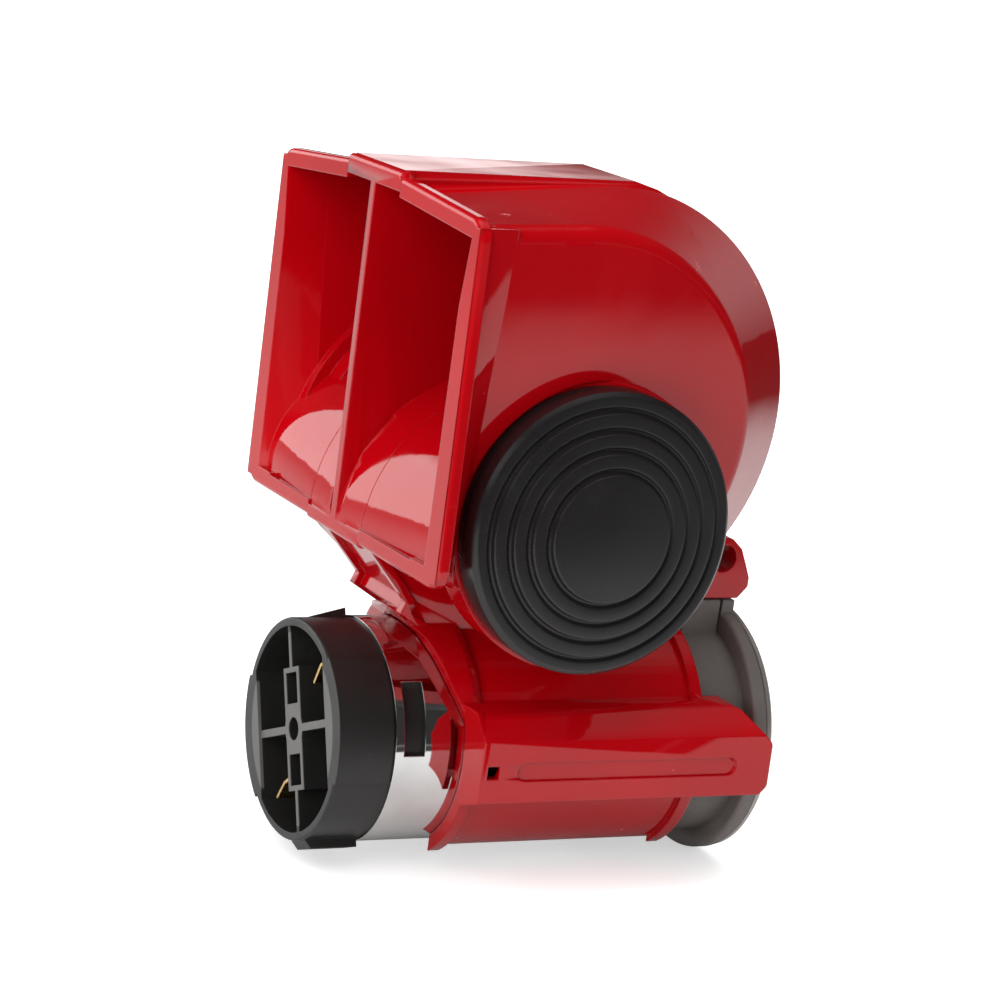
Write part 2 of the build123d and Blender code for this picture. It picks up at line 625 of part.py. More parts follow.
def motor_end_cap():
    """Moulded cap: ribbed open face, bearing hub, brush pockets, side panels and a spigot in the can."""
    inside = cap_r() - CAP_WALL
    cap = ring(0, CAP_DEPTH, cap_r())
    cap = fillet(cap.edges().filter_by(GeomType.CIRCLE).sort_by(Axis.X)[0], CAP_PANEL)
    root = cap_r() - CAP_WALL
    back = CAP_DEPTH - CAP_PANEL
    panels = Sketch() + [arc_band(cap_r() + CAP_PANEL, root, a, CAP_PANEL_ANGLE) for a in (0, 180)]
    cap += along_x(0, back, panels)
    half = CAP_TAB_WIDTH / 2
    start = CAP_DEPTH / 3
    cap += block_xz([(start, root), (start, cap_r()), (back, cap_r() + CAP_TAB), (back, root)], -half, half)
    cap += block_xz([(CAP_PANEL, -root), (CAP_PANEL, -cap_r()), (CAP_TAB, -cap_r() - CAP_TAB),
                     (back, -cap_r() - CAP_TAB), (back, -root)], -half, half)
    cavity = Circle(inside) & Rectangle(2 * CAP_FLAT, 4 * cap_r())
    cap -= along_x(-EXTRA, CAP_DEPTH - CAP_FLOOR + EXTRA, cavity)
    cap += ring(CAP_DEPTH - EXTRA, CAP_SPIGOT + EXTRA, spigot_r(), spigot_r() - CAP_WALL)

    ribs = Rectangle(THIN_RIB, 2 * inside) + Rectangle(2 * CAP_FLAT, RIB)
    for turn in (1, -1):
        ribs += Pos(0, turn * POCKET_END / 2) * Rectangle(2 * POCKET_HALF, POCKET_END)
    for turn in (1, -1):
        opening = Pos(0, turn * (POCKET_END + HUB_R) / 2)
        ribs -= opening * Rectangle(2 * (POCKET_HALF - POCKET_WALL), POCKET_END - HUB_R - 2 * POCKET_WALL)
    ribs += Circle(HUB_R)
    cap += along_x(RIB_SET_BACK, CAP_DEPTH - RIB_SET_BACK, ribs)
    cap -= ring(front_bush_x() - EXTRA, CAP_DEPTH, BUSH_R)
    cap -= ring(-EXTRA, CAP_DEPTH, BUSH_R - POCKET_WALL)
    for index in (0, 1):
        cap -= along_x(CAP_DEPTH - 2 * CAP_FLOOR, 3 * CAP_FLOOR, bent_strip(index, FIT_GAP))
    return turned(cap)


def cap_r():
    return CAN_R - CAP_STEP


def spigot_r():
    return CAN_R - CAN_WALL - FIT_GAP


def front_bush_x():
    return CAP_DEPTH - BUSH


def bent_strip(index, margin):
    """End view of a terminal strip with this much room round it."""
    return make_face(offset(Polyline(*TERMINALS[index]), TERMINAL / 2 + margin))


def terminal(index):
    """Thin brass strip, bent along its length, that passes the floor of the cap."""
    return turned(along_x(TERMINAL_FRONT, CAP_DEPTH + CAP_FLOOR - TERMINAL_FRONT, bent_strip(index, 0)))


def commutator():
    slit = Rectangle(2 * COMMUTATOR_SLIT_DEPTH, COMMUTATOR_SLIT)
    bars = Circle(COMMUTATOR_R) - Circle(SHAFT_R + PRESS_GAP)
    for index in range(POLES):
        bars -= Rot(0, 0, index * 360 / POLES) * Pos(COMMUTATOR_R, 0) * slit
    return along_x(COMMUTATOR_FRONT, COMMUTATOR_BACK - COMMUTATOR_FRONT, bars)


def brush_middle():
    return (COMMUTATOR_FRONT + COMMUTATOR_BACK) / 2


def brush(way):
    """Carbon block that bears on the commutator; way is +1 or -1 across the motor."""
    near = COMMUTATOR_R + FIT_GAP
    block = Box(BRUSH_WIDTH, BRUSH_LENGTH, BRUSH_HEIGHT)
    return turned(Pos(brush_middle(), way * (near + BRUSH_LENGTH / 2), 0) * block)


def brush_arm(way):
    """Flat spring from the spigot wall to the back of the brush."""
    level = COMMUTATOR_R + FIT_GAP + BRUSH_LENGTH + ARM_OFF
    wall = spigot_r() - CAP_WALL - CLEARANCE
    foot_x = CAP_DEPTH + ARM_FOOT_X
    path = Polyline((foot_x, wall - ARM_ROOT), (foot_x + ARM_BEND, wall - ARM_TURN),
                    (brush_middle() - BRUSH_WIDTH / 2, level), (brush_middle() + BRUSH_WIDTH / 2, level))
    strip = extrude(Plane.XY.offset(-BRUSH_HEIGHT / 2) * make_face(offset(path, ARM / 2)), BRUSH_HEIGHT)
    foot = Pos(foot_x, wall - ARM_SEAT, 0) * Box(ARM_FOOT, ARM_ROOT, BRUSH_HEIGHT)
    arm = strip + foot
    return turned(arm if way > 0 else mirror(arm, about=Plane.XZ))


def magnet(way):
    """Curved magnet against the can; way is +1 above the shaft and -1 below it."""
    outer = CAN_R - CAN_WALL - FIT_GAP
    length = CORE_BACK - CORE_FRONT + 2 * MAGNET_OVERHANG
    return turned(along_x(CORE_FRONT - MAGNET_OVERHANG, length,
                          arc_band(outer, outer - MAGNET, 90 * way, MAGNET_ARC)))


def between_poles():
    """Turns that lie midway between the poles of the armature."""
    return [Rot(0, 0, (index + 0.5) * 360 / POLES) for index in range(POLES)]


def winding_slots(margin):
    """Closed slots between the poles of the armature, shrunk by a margin."""
    slot = RectangleRounded(SLOT_DEEP - 2 * margin, SLOT_WIDE - 2 * margin, SLOT_CORNER)
    return Sketch() + [turn * Pos(SLOT_CENTRE_R, 0) * slot for turn in between_poles()]


def armature_core():
    """Stack of laminations with open slots, drawn as one."""
    face = Circle(CORE_R) - Circle(SHAFT_R + PRESS_GAP) - winding_slots(0)
    for turn in between_poles():
        face -= turn * Pos(CORE_R, 0) * Rectangle(2 * SLOT_MOUTH_DEPTH, SLOT_MOUTH)
    return along_x(CORE_FRONT, CORE_BACK - CORE_FRONT, face)


def armature_windings():
    """Copper in the slots, joined by the end turns."""
    copper = along_x(CORE_FRONT - EXTRA, CORE_BACK - CORE_FRONT + 2 * EXTRA, winding_slots(INSULATION))
    for start in (CORE_FRONT - END_TURNS - CLEARANCE, CORE_BACK + CLEARANCE):
        end_turns = ring(start, END_TURNS, END_TURNS_R, END_TURNS_BORE)
        rims = end_turns.edges().filter_by(GeomType.CIRCLE).group_by(SortBy.RADIUS)[-1]
        copper += fillet(rims, END_TURNS_ROUND)
    return copper


def armature_shaft():
    start = front_bush_x() - SHAFT_FRONT
    shaft = ring(start, SHAFT_END - start, SHAFT_R)
    return chamfer(shaft.edges().filter_by(GeomType.CIRCLE), SHAFT_CHAMFER)


def bush(start):
    return ring(start, BUSH, BUSH_R - PRESS_GAP, SHAFT_R + BUSH_GAP)


def riser_block(start, end, half):
    """Upright block from inside the barrel to the top of the riser."""
    top = EAR_BOTTOM - CLEARANCE
    return block_xz([(start, RISER_FOOT), (start, top), (end, top), (end, RISER_FOOT)], -half, half)


def pump_body():
    """Casting: barrel as wide as the can, floor, off-centre rotor bore, flange and riser post."""
    barrel = ring(CAN_END, FLANGE_FRONT - CAN_END + EXTRA, CAN_R)
    flange = ring(FLANGE_FRONT, FLANGE_BACK - FLANGE_FRONT, FLANGE_R)
    flange = fillet(flange.edges().filter_by(GeomType.CIRCLE), FLANGE_ROUND)
    top = EAR_BOTTOM - CLEARANCE
    post = riser_block(RISER_FRONT, FLANGE_FRONT - RISER_GROOVE, RISER_HALF)
    plate = riser_block(FLANGE_FRONT, FLANGE_BACK - PLATE_SET_BACK, RISER_HALF)
    web = riser_block(FLANGE_FRONT - EXTRA, FLANGE_FRONT + EXTRA, RISER_HALF - RISER_GROOVE_DEPTH)
    spigot = Pos(riser_x(), 0, top) * Cylinder(SPIGOT_R - SEAL, 2 * SPIGOT_RISE)
    body = barrel + flange + post + plate + web + spigot
    body -= along_x(PUMP_FLOOR, FLANGE_BACK, Pos(0, -BORE_OFFSET) * Circle(BORE_R))
    body -= ring(CAN_END - EXTRA, PUMP_FLOOR, 2 * SHAFT_R)
    body -= Pos(riser_x(), 0, 0) * extrude(Plane.XY.offset(BORE_R / 2) * Circle(OUTLET_R), FLANGE_R)
    body -= turned(along_x(CAN_END - EXTRA, PUMP_FLOOR, motor_screw_spots(SCREW_R + PRESS_GAP)))
    body -= turned(along_x(PUMP_FLOOR - HEAD - CLEARANCE, PUMP_FLOOR, motor_screw_spots(HEAD_R + CLEARANCE)))
    depth = SCREW_REACH + 2 * EXTRA
    body -= along_x(FLANGE_BACK - depth, 2 * depth, cover_screw_spots(COVER_SCREW_R))
    return body


def cover_screw_spots(radius):
    return Sketch() + PolarLocations(SCREW_CIRCLE, 4, start_angle=45) * Circle(radius)


def pump_rotor():
    """Slotted drum on the shaft."""
    face = Circle(ROTOR_R) - Circle(SHAFT_R + PRESS_GAP)
    for index in range(VANES):
        turn = Rot(0, 0, index * 360 / VANES)
        slot = Rectangle(VANE_DEPTH + 2 * VANE_REST, VANE + 2 * FIT_GAP)
        face -= turn * Pos(ROTOR_R - VANE_DEPTH / 2 - VANE_REST / 2, VANE_OFFSET) * slot
    return along_x(PUMP_FLOOR + ROTOR_GAP, FLANGE_BACK - PUMP_FLOOR - 2 * ROTOR_GAP, face)


def pump_vanes():
    """Sliding blades, drawn pushed in as they lie when the pump stands still."""
    length = FLANGE_BACK - PUMP_FLOOR - 2 * (ROTOR_GAP + VANE_SIDE)
    blades = Sketch()
    for index in range(VANES):
        turn = Rot(0, 0, index * 360 / VANES)
        blade = Rectangle(VANE_DEPTH, VANE)
        blades += turn * Pos(ROTOR_R - VANE_DEPTH / 2 - VANE_REST, VANE_OFFSET) * blade
    return along_x(PUMP_FLOOR + ROTOR_GAP + VANE_SIDE, length, blades)


def pump_end_cover():
    """Rear plate with a raised middle, four screw holes and a tab that stands up behind the riser."""
    plate = ring(FLANGE_BACK, PUMP_COVER, PUMP_COVER_R)
    plate = chamfer(plate.edges().filter_by(GeomType.CIRCLE).sort_by(Axis.X)[-1], COVER_CHAMFER)
    plate += ring(FLANGE_BACK, PUMP_COVER + COVER_HUB, COVER_HUB_R)
    return plate - along_x(FLANGE_BACK - EXTRA, 3 * PUMP_COVER, cover_screw_spots(SCREW_R + 2 * FIT_GAP))


def pump_screws():
    heads = along_x(FLANGE_BACK + PUMP_COVER, HEAD, cover_screw_spots(HEAD_R))
    spots = cover_screw_spots(COVER_SCREW_R - PRESS_GAP)
    shanks = along_x(FLANGE_BACK - SCREW_REACH, SCREW_REACH + PUMP_COVER, spots)
    recess = along_x(FLANGE_BACK + PUMP_COVER + HEAD / 2, HEAD, cover_screw_spots(HEAD_R / 2))
    return heads + shanks - recess


def motor_screws():
    """Two screws through the pump floor into the end of the can."""
    top = PUMP_FLOOR - CLEARANCE
    tip = CAN_END - 2 * CAN_WALL
    screws = along_x(top - HEAD, HEAD, motor_screw_spots(HEAD_R))
    screws += along_x(tip, top - HEAD - tip, motor_screw_spots(SCREW_R - PRESS_GAP))
    return turned(screws)


def riser_seal():
    """Rubber ring round the riser's spigot, inside the socket of the ear."""
    place = Pos(riser_x(), 0, EAR_BOTTOM + SPIGOT_RISE / 2 - CLEARANCE)
    return place * (Cylinder(SPIGOT_R, SPIGOT_RISE - CLEARANCE) - Cylinder(SPIGOT_R - SEAL, 2 * SPIGOT_RISE))


def left(shape):
    return Pos(0, -LEFT_SEAM, 0) * shape


def right(shape):
    return Pos(0, RIGHT_SEAM, 0) * mirror(shape, about=Plane.XZ)


pieces = {
    "centre_housing": centre_housing(),
    "left_trumpet_shell": left(trumpet_shell(LEFT_REACH)),
    "right_trumpet_shell": right(trumpet_shell(RIGHT_REACH)),
    "left_diaphragm_cover": left(diaphragm_cover(LEFT_REACH)),
    "right_diaphragm_cover": right(diaphragm_cover(RIGHT_REACH)),
    "left_diaphragm": left(diaphragm(LEFT_REACH)),
    "right_diaphragm": right(diaphragm(RIGHT_REACH)),
    "left_gasket": left(diaphragm_gasket(LEFT_REACH)),
    "right_gasket": right(diaphragm_gasket(RIGHT_REACH)),
    "motor_can": motor_can(),
    "motor_end_cap": motor_end_cap(),
    "upper_terminal": terminal(0),
    "lower_terminal": terminal(1),
    "left_brush": brush(-1),
    "right_brush": brush(1),
    "left_brush_arm": brush_arm(-1),
    "right_brush_arm": brush_arm(1),
    "upper_magnet": magnet(1),
    "lower_magnet": magnet(-1),
    "front_bush": turned(bush(front_bush_x())),
    "rear_bush": turned(bush(rear_bush_x())),
    "armature_shaft": armature_shaft(),
    "armature_core": armature_core(),
    "armature_windings": armature_windings(),
    "commutator": commutator(),
    "pump_body": pump_body(),
    "pump_rotor": pump_rotor(),
    "pump_vanes": pump_vanes(),
    "pump_end_cover": pump_end_cover(),
    "pump_screws": pump_screws(),
    "motor_screws": motor_screws(),
    "riser_seal": riser_seal(),
}

os.makedirs("parts", exist_ok=True)
for name, piece in pieces.items():
    placed = Pos(-MOUNT_X, 0, -MOUNT_Z) * piece
    export_step(Compound(children=placed.solids()), f"parts/{name}.step")
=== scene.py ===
import bmesh
import bpy
import math
from mathutils import Matrix, Vector


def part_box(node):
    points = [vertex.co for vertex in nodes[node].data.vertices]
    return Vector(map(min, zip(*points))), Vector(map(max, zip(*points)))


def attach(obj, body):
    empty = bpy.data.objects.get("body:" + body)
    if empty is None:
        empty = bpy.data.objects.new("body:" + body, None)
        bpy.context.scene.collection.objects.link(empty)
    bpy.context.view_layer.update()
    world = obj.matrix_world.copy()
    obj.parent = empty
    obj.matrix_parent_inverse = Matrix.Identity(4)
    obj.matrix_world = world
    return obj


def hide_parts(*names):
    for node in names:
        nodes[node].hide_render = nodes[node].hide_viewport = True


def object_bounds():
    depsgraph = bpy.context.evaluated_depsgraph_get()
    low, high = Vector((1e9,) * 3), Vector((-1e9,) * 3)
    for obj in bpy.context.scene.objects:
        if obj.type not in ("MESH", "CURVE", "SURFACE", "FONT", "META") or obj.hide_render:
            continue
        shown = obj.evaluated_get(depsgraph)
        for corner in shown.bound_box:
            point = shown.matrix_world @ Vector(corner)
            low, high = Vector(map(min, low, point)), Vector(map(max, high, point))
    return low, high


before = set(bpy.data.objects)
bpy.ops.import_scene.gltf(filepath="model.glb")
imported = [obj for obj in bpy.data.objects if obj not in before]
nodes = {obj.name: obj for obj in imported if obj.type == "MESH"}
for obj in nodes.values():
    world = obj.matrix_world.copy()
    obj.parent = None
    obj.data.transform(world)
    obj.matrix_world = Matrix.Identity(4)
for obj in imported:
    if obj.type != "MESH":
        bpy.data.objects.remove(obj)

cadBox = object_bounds()
mm = 0.001  # metres
motorAxisHeight = -35.6 * mm
weld = 0.001 * mm  # points nearer than this are made one
print("stage: frame loaded,", len(nodes), "nodes")

# Camera: where it stands and the directions of the picture's right, down and forward
camera = {
    "place": (-0.33993, -0.52827, 0.13946),
    "right": (0.8813914, -0.4548051, 0.1276772),
    "down": (0.0136559, -0.2456370, -0.9692657),
    "forward": (0.4721892, 0.8560460, -0.2102915),
    "lens": 115.57,
    "sensor": 36.0,
    "near": 0.01,
}


def makeCamera(spec):
    data = bpy.data.cameras.new("view_camera")
    data.lens = spec["lens"]
    data.sensor_width = spec["sensor"]
    data.clip_start = spec["near"]
    cam = bpy.data.objects.new("view_camera", data)
    bpy.context.scene.collection.objects.link(cam)
    right, down, forward = (Vector(spec[k]) for k in ("right", "down", "forward"))
    turn = Matrix((right, -down, -forward)).transposed().to_4x4()
    cam.matrix_world = Matrix.Translation(spec["place"]) @ turn
    bpy.context.scene.camera = cam


makeCamera(camera)


# A node tree of a material, a world or a geometry modifier
class Graph:
    def __init__(self, tree):
        self.tree = tree
        self.tree.nodes.clear()

    def add(self, kind, inputs=None, **settings):
        node = self.tree.nodes.new(kind)
        for key, value in settings.items():
            setattr(node, key, value)
        for key, value in (inputs or {}).items():
            socket = node.inputs[key]
            if isinstance(value, bpy.types.NodeSocket):
                self.tree.links.new(value, socket)
            else:
                socket.default_value = value
        return node

    def coords(self, scale=(1, 1, 1), turn=(0, 0, 0), shift=(0, 0, 0)):
        where = self.add("ShaderNodeTexCoord")
        mapping = self.add("ShaderNodeMapping", {"Vector": where.outputs["Object"], "Location": shift,
                                                 "Rotation": turn, "Scale": scale})
        return mapping.outputs["Vector"]

    def noise(self, scale, vector=None, detail=3.0, rough=0.5):
        vector = vector or self.coords()
        node = self.add("ShaderNodeTexNoise", {"Vector": vector, "Scale": scale, "Detail": detail,
                                               "Roughness": rough})
        return node.outputs["Fac"]

    def ramp(self, value, low, high, toLow=0.0, toHigh=1.0, smooth=True):
        node = self.add("ShaderNodeMapRange", {"Value": value, "From Min": low, "From Max": high,
                                               "To Min": toLow, "To Max": toHigh})
        node.interpolation_type = "SMOOTHSTEP" if smooth else "LINEAR"
        return node.outputs["Result"]

    def math(self, kind, a, b=0.0):
        return self.add("ShaderNodeMath", {0: a, 1: b}, operation=kind).outputs[0]

    def dot(self, a, b):
        return self.add("ShaderNodeVectorMath", {0: a, 1: b}, operation="DOT_PRODUCT").outputs["Value"]

    def mix(self, share, a, b):
        node = self.add("ShaderNodeMix", data_type="RGBA")
        for index, value in ((0, share), (6, a), (7, b)):
            if isinstance(value, bpy.types.NodeSocket):
                self.tree.links.new(value, node.inputs[index])
            elif index:
                node.inputs[index].default_value = (*value, 1.0)
            else:
                node.inputs[index].default_value = value
        return node.outputs[2]

    def bump(self, height, strength, distance, normal):
        inputs = {"Height": height, "Strength": strength, "Distance": distance, "Normal": normal}
        return self.add("ShaderNodeBump", inputs).outputs["Normal"]

    def bevel(self, radius):
        return self.add("ShaderNodeBevel", {"Radius": radius}, samples=4).outputs["Normal"]

    def surface(self, **inputs):
        named = {key.replace("_", " "): value for key, value in inputs.items()}
        shader = self.add("ShaderNodeBsdfPrincipled", named)
        self.add("ShaderNodeOutputMaterial", {"Surface": shader.outputs[0]})


def newMaterial(name):
    material = bpy.data.materials.new(name)
    material.use_nodes = True
    return material, Graph(material.node_tree)


# In the finishes, scale is how fine a pattern is, between is where it fades in, and depth and edge are
# in metres: how deep the relief is and how far an edge looks rounded.
# Glossy moulded plastic of the trumpets and the cradle, with pale rub marks and specks of dust
red = {
    "colour": (0.40, 0.0006, 0.0035),
    "deep": (0.33, 0.0004, 0.0030),
    "cloud": {"scale": 18.0, "between": (0.35, 0.7)},
    "fleck": (0.78, 0.22, 0.22),
    "streaks": (
        {"scale": 150.0, "stretch": (1.0, 1.0, 0.10), "turn": (0.0, 0.35, 0.2), "detail": 5.0,
         "rough": 0.62, "between": (0.685, 0.73)},
        {"scale": 210.0, "stretch": (0.12, 1.0, 1.0), "turn": (0.0, -0.5, 0.0), "detail": 4.0,
         "rough": 0.6, "between": (0.70, 0.74)},
    ),
    "rubbed": {"scale": 26.0, "shift": (0.3, 0.1, 0.7), "between": (0.50, 0.66), "share": 0.35,
               "rough": 0.25},
    "dust": {"scale": 230.0, "size": (0.10, 0.055), "patches": 60.0, "between": (0.62, 0.70),
             "share": 0.5},
    "smear": {"scale": 34.0, "stretch": (1, 1, 0.5), "between": (0.45, 0.75), "rough": (0.05, 0.12)},
    "edge": 0.00045,
    "wave": {"scale": 55.0, "strength": 0.25, "depth": 0.00035},
    "scratch": {"strength": 0.6, "depth": 0.00002},
}
refraction = 1.5


def rubMarks(g, spec):
    lines = []
    for streak in spec["streaks"]:
        where = g.coords(scale=streak["stretch"], turn=streak["turn"])
        grain = g.noise(streak["scale"], where, detail=streak["detail"], rough=streak["rough"])
        lines.append(g.ramp(grain, *streak["between"]))
    rubbed = spec["rubbed"]
    patch = g.noise(rubbed["scale"], g.coords(shift=rubbed["shift"]), detail=1.0)
    return g.math("MULTIPLY", g.math("MAXIMUM", *lines), g.ramp(patch, *rubbed["between"]))


def makeRed(spec):
    material, g = newMaterial("red_moulding")
    cloud, dust, smear, wave, scratch = (spec[k] for k in ("cloud", "dust", "smear", "wave", "scratch"))
    tone = g.ramp(g.noise(cloud["scale"], detail=2.0), *cloud["between"])
    colour = g.mix(tone, spec["deep"], spec["colour"])
    marks = rubMarks(g, spec)
    colour = g.mix(g.math("MULTIPLY", marks, spec["rubbed"]["share"]), colour, spec["fleck"])
    cells = g.add("ShaderNodeTexVoronoi", {"Vector": g.coords(),
                                           "Scale": dust["scale"]}).outputs["Distance"]
    patches = g.ramp(g.noise(dust["patches"], detail=2.0), *dust["between"])
    specks = g.math("MULTIPLY", g.ramp(cells, *dust["size"]), patches)
    colour = g.mix(g.math("MULTIPLY", specks, dust["share"]), colour, spec["fleck"])
    film = g.noise(smear["scale"], g.coords(scale=smear["stretch"]), detail=4.0, rough=0.6)
    film = g.ramp(film, *smear["between"], *smear["rough"])
    rough = g.math("ADD", film, g.math("MULTIPLY", marks, spec["rubbed"]["rough"]))
    waves = g.noise(wave["scale"], detail=1.0)
    normal = g.bump(waves, wave["strength"], wave["depth"], g.bevel(spec["edge"]))
    normal = g.bump(marks, scratch["strength"], scratch["depth"], normal)
    g.surface(Base_Color=colour, Roughness=rough, Normal=normal, IOR=refraction)
    return material


# Satin black of the diaphragm covers and of the motor's end cap, worn and dusty in places. The ribs'
# painted highlight lies within a radius of the motor's axis and in front of a plane, both in metres
black = {
    "cover": {"colour": (0.009, 0.0078, 0.0082), "worn": (0.022, 0.021, 0.021), "rough": (0.26, 0.38),
              "grain": 900.0, "depth": 0.00002, "edge": 0.0004},
    "cap": {"colour": (0.011, 0.0105, 0.010), "worn": (0.035, 0.034, 0.033), "rough": (0.36, 0.5),
            "grain": 1500.0, "depth": 0.00003, "edge": 0.0003,
            # the ribs' paler colour is a painted highlight, standing in for a reflection of the lamp
            "ribs": {"colour": (0.085, 0.083, 0.080), "within": 0.0186, "front": -0.0862,
                     "fade": (0.0004, 0.0001)}},
}
blackAge = {
    "wear": {"scale": 70.0, "detail": 5.0, "rough": 0.65, "between": (0.56, 0.74), "share": 0.35},
    "dust": {"scale": 900.0, "detail": 2.0, "rough": 0.5, "between": (0.66, 0.74), "share": 0.25},
    "sheen": {"scale": 40.0, "between": (0.3, 0.7)},
    "grip": 0.35,
}


# Painted highlight: the front edges of the ribs in the end cap are painted paler than its rim, in place of
# a reflection of the lamp
def paintRibHighlight(g, colour, ribs):
    where = g.coords(shift=(0, 0, -motorAxisHeight))
    radial = g.add("ShaderNodeVectorMath", {0: where, 1: (0, 1, 1)}, operation="MULTIPLY").outputs[0]
    away = g.add("ShaderNodeVectorMath", {0: radial}, operation="LENGTH").outputs["Value"]
    along = g.add("ShaderNodeSeparateXYZ", {0: where}).outputs["X"]
    inside = g.ramp(away, ribs["within"], ribs["within"] - ribs["fade"][0])
    atFront = g.ramp(along, ribs["front"], ribs["front"] - ribs["fade"][1])
    return g.mix(g.math("MULTIPLY", inside, atFront), colour, ribs["colour"])


def makeBlack(name, spec):
    material, g = newMaterial(name)
    colour = spec["colour"]
    for age in (blackAge["wear"], blackAge["dust"]):
        patch = g.ramp(g.noise(age["scale"], detail=age["detail"], rough=age["rough"]), *age["between"])
        colour = g.mix(g.math("MULTIPLY", patch, age["share"]), colour, spec["worn"])
    # painted highlight on the front edges of the end cap's ribs
    if "ribs" in spec:
        colour = paintRibHighlight(g, colour, spec["ribs"])
    sheen = blackAge["sheen"]
    rough = g.ramp(g.noise(sheen["scale"]), *sheen["between"], *spec["rough"])
    grain = g.noise(spec["grain"], detail=2.0)
    normal = g.bump(grain, blackAge["grip"], spec["depth"], g.bevel(spec["edge"]))
    g.surface(Base_Color=colour, Roughness=rough, Normal=normal, IOR=refraction)
    return material


# Metals, ferrite and rubber: stretch draws the grain out along an axis
metals = {
    "bright_can": {"colour": (0.78, 0.78, 0.77), "metal": 1.0, "rough": (0.03, 0.09),
                   "stretch": (0.03, 1, 1), "grain": 60.0, "depth": 0.000004, "edge": 0.0003},
    "pump_casting": {"colour": (0.155, 0.140, 0.130), "metal": 0.25, "rough": (0.48, 0.62),
                     "stretch": (1, 1, 1), "grain": 1300.0, "depth": 0.00005, "edge": 0.0004},
    "pump_plate": {"colour": (0.42, 0.39, 0.36), "metal": 0.7, "rough": (0.35, 0.5), "stretch": (1, 1, 1),
                   "grain": 700.0, "depth": 0.00003, "edge": 0.0003},
    "terminal_brass": {"colour": (0.75, 0.50, 0.20), "metal": 1.0, "rough": (0.2, 0.32),
                       "stretch": (0.1, 1, 1), "grain": 500.0, "depth": 0.00001, "edge": 0.0001},
    "screw_steel": {"colour": (0.55, 0.54, 0.52), "metal": 1.0, "rough": (0.25, 0.4), "stretch": (1, 1, 1),
                    "grain": 400.0, "depth": 0.00001, "edge": 0.0001},
    "ferrite": {"colour": (0.05, 0.05, 0.052), "metal": 0.1, "rough": (0.5, 0.65), "stretch": (1, 1, 1),
                "grain": 900.0, "depth": 0.00004, "edge": 0.0003},
    "bronze": {"colour": (0.45, 0.30, 0.15), "metal": 1.0, "rough": (0.4, 0.55), "stretch": (1, 1, 1),
               "grain": 1500.0, "depth": 0.00002, "edge": 0.0001},
    "lamination_steel": {"colour": (0.30, 0.30, 0.31), "metal": 0.9, "rough": (0.35, 0.5),
                         "stretch": (20, 0.1, 0.1), "grain": 90.0, "depth": 0.00005, "edge": 0.0001},
    "copper_wire": {"colour": (0.62, 0.20, 0.08), "metal": 0.9, "rough": (0.25, 0.4),
                    "stretch": (0.2, 1, 1), "grain": 700.0, "depth": 0.0001, "edge": 0.0002},
    "rubber": {"colour": (0.015, 0.015, 0.015), "metal": 0.0, "rough": (0.6, 0.8), "stretch": (1, 1, 1),
               "grain": 900.0, "depth": 0.00003, "edge": 0.0001},
}
metalTone = {"scale": 45.0, "between": (0.3, 0.75), "darkest": 0.8}
metalGrain = {"between": (0.3, 0.7), "strength": 0.4}


def makeMetal(name, spec):
    material, g = newMaterial(name)
    tone = g.ramp(g.noise(metalTone["scale"], detail=4.0, rough=0.6), *metalTone["between"])
    darker = tuple(metalTone["darkest"] * c for c in spec["colour"])
    colour = g.mix(tone, darker, spec["colour"])
    grain = g.noise(spec["grain"], g.coords(scale=spec["stretch"]), detail=4.0, rough=0.6)
    rough = g.ramp(grain, *metalGrain["between"], *spec["rough"])
    normal = g.bump(grain, metalGrain["strength"], spec["depth"], g.bevel(spec["edge"]))
    g.surface(Base_Color=colour, Metallic=spec["metal"], Roughness=rough, Normal=normal)
    return material


materials = {"red": makeRed(red)}
materials["cover"] = makeBlack("black_cover", black["cover"])
materials["cap"] = makeBlack("black_cap", black["cap"])
for name, spec in metals.items():
    materials[name] = makeMetal(name, spec)

finishOf = {
    "red": ("centre_housing", "left_trumpet_shell", "right_trumpet_shell"),
    "cover": ("left_diaphragm_cover", "right_diaphragm_cover"),
    "cap": ("motor_end_cap", "left_brush", "right_brush", "pump_vanes"),
    "bright_can": ("motor_can",),
    "pump_casting": ("pump_body",),
    "pump_plate": ("pump_end_cover", "pump_rotor"),
    "terminal_brass": ("upper_terminal", "lower_terminal", "left_brush_arm", "right_brush_arm"),
    "screw_steel": ("pump_screws", "motor_screws", "armature_shaft", "left_diaphragm", "right_diaphragm"),
    "ferrite": ("upper_magnet", "lower_magnet"),
    "bronze": ("front_bush", "rear_bush"),
    "lamination_steel": ("armature_core",),
    "copper_wire": ("armature_windings", "commutator"),
    "rubber": ("left_gasket", "right_gasket", "riser_seal"),
}
for finish, names in finishOf.items():
    for name in names:
        for slot in nodes[name].material_slots:
            slot.material = materials[finish]
print("stage: materials set")


def newTree(name, sizes):
    tree = bpy.data.node_groups.new(name, "GeometryNodeTree")
    g = Graph(tree)
    tree.interface.new_socket("Geometry", in_out="INPUT", socket_type="NodeSocketGeometry")
    for label, kind in sizes.items():
        tree.interface.new_socket(label, in_out="INPUT", socket_type=kind)
    tree.interface.new_socket("Geometry", in_out="OUTPUT", socket_type="NodeSocketGeometry")
    return g, g.add("NodeGroupInput").outputs


def endTree(g, geometry, material):
    solid = g.add("GeometryNodeRealizeInstances", {"Geometry": geometry}).outputs[0]
    merged = g.add("GeometryNodeMergeByDistance", {"Geometry": solid, "Distance": 2 * weld}).outputs[0]
    finished = g.add("GeometryNodeSetMaterial", {"Geometry": merged, "Material": material}).outputs[0]
    g.add("NodeGroupOutput", {0: finished})


def placeObject(name, mesh):
    piece = bpy.data.objects.new(name, mesh)
    bpy.context.scene.collection.objects.link(piece)
    return piece


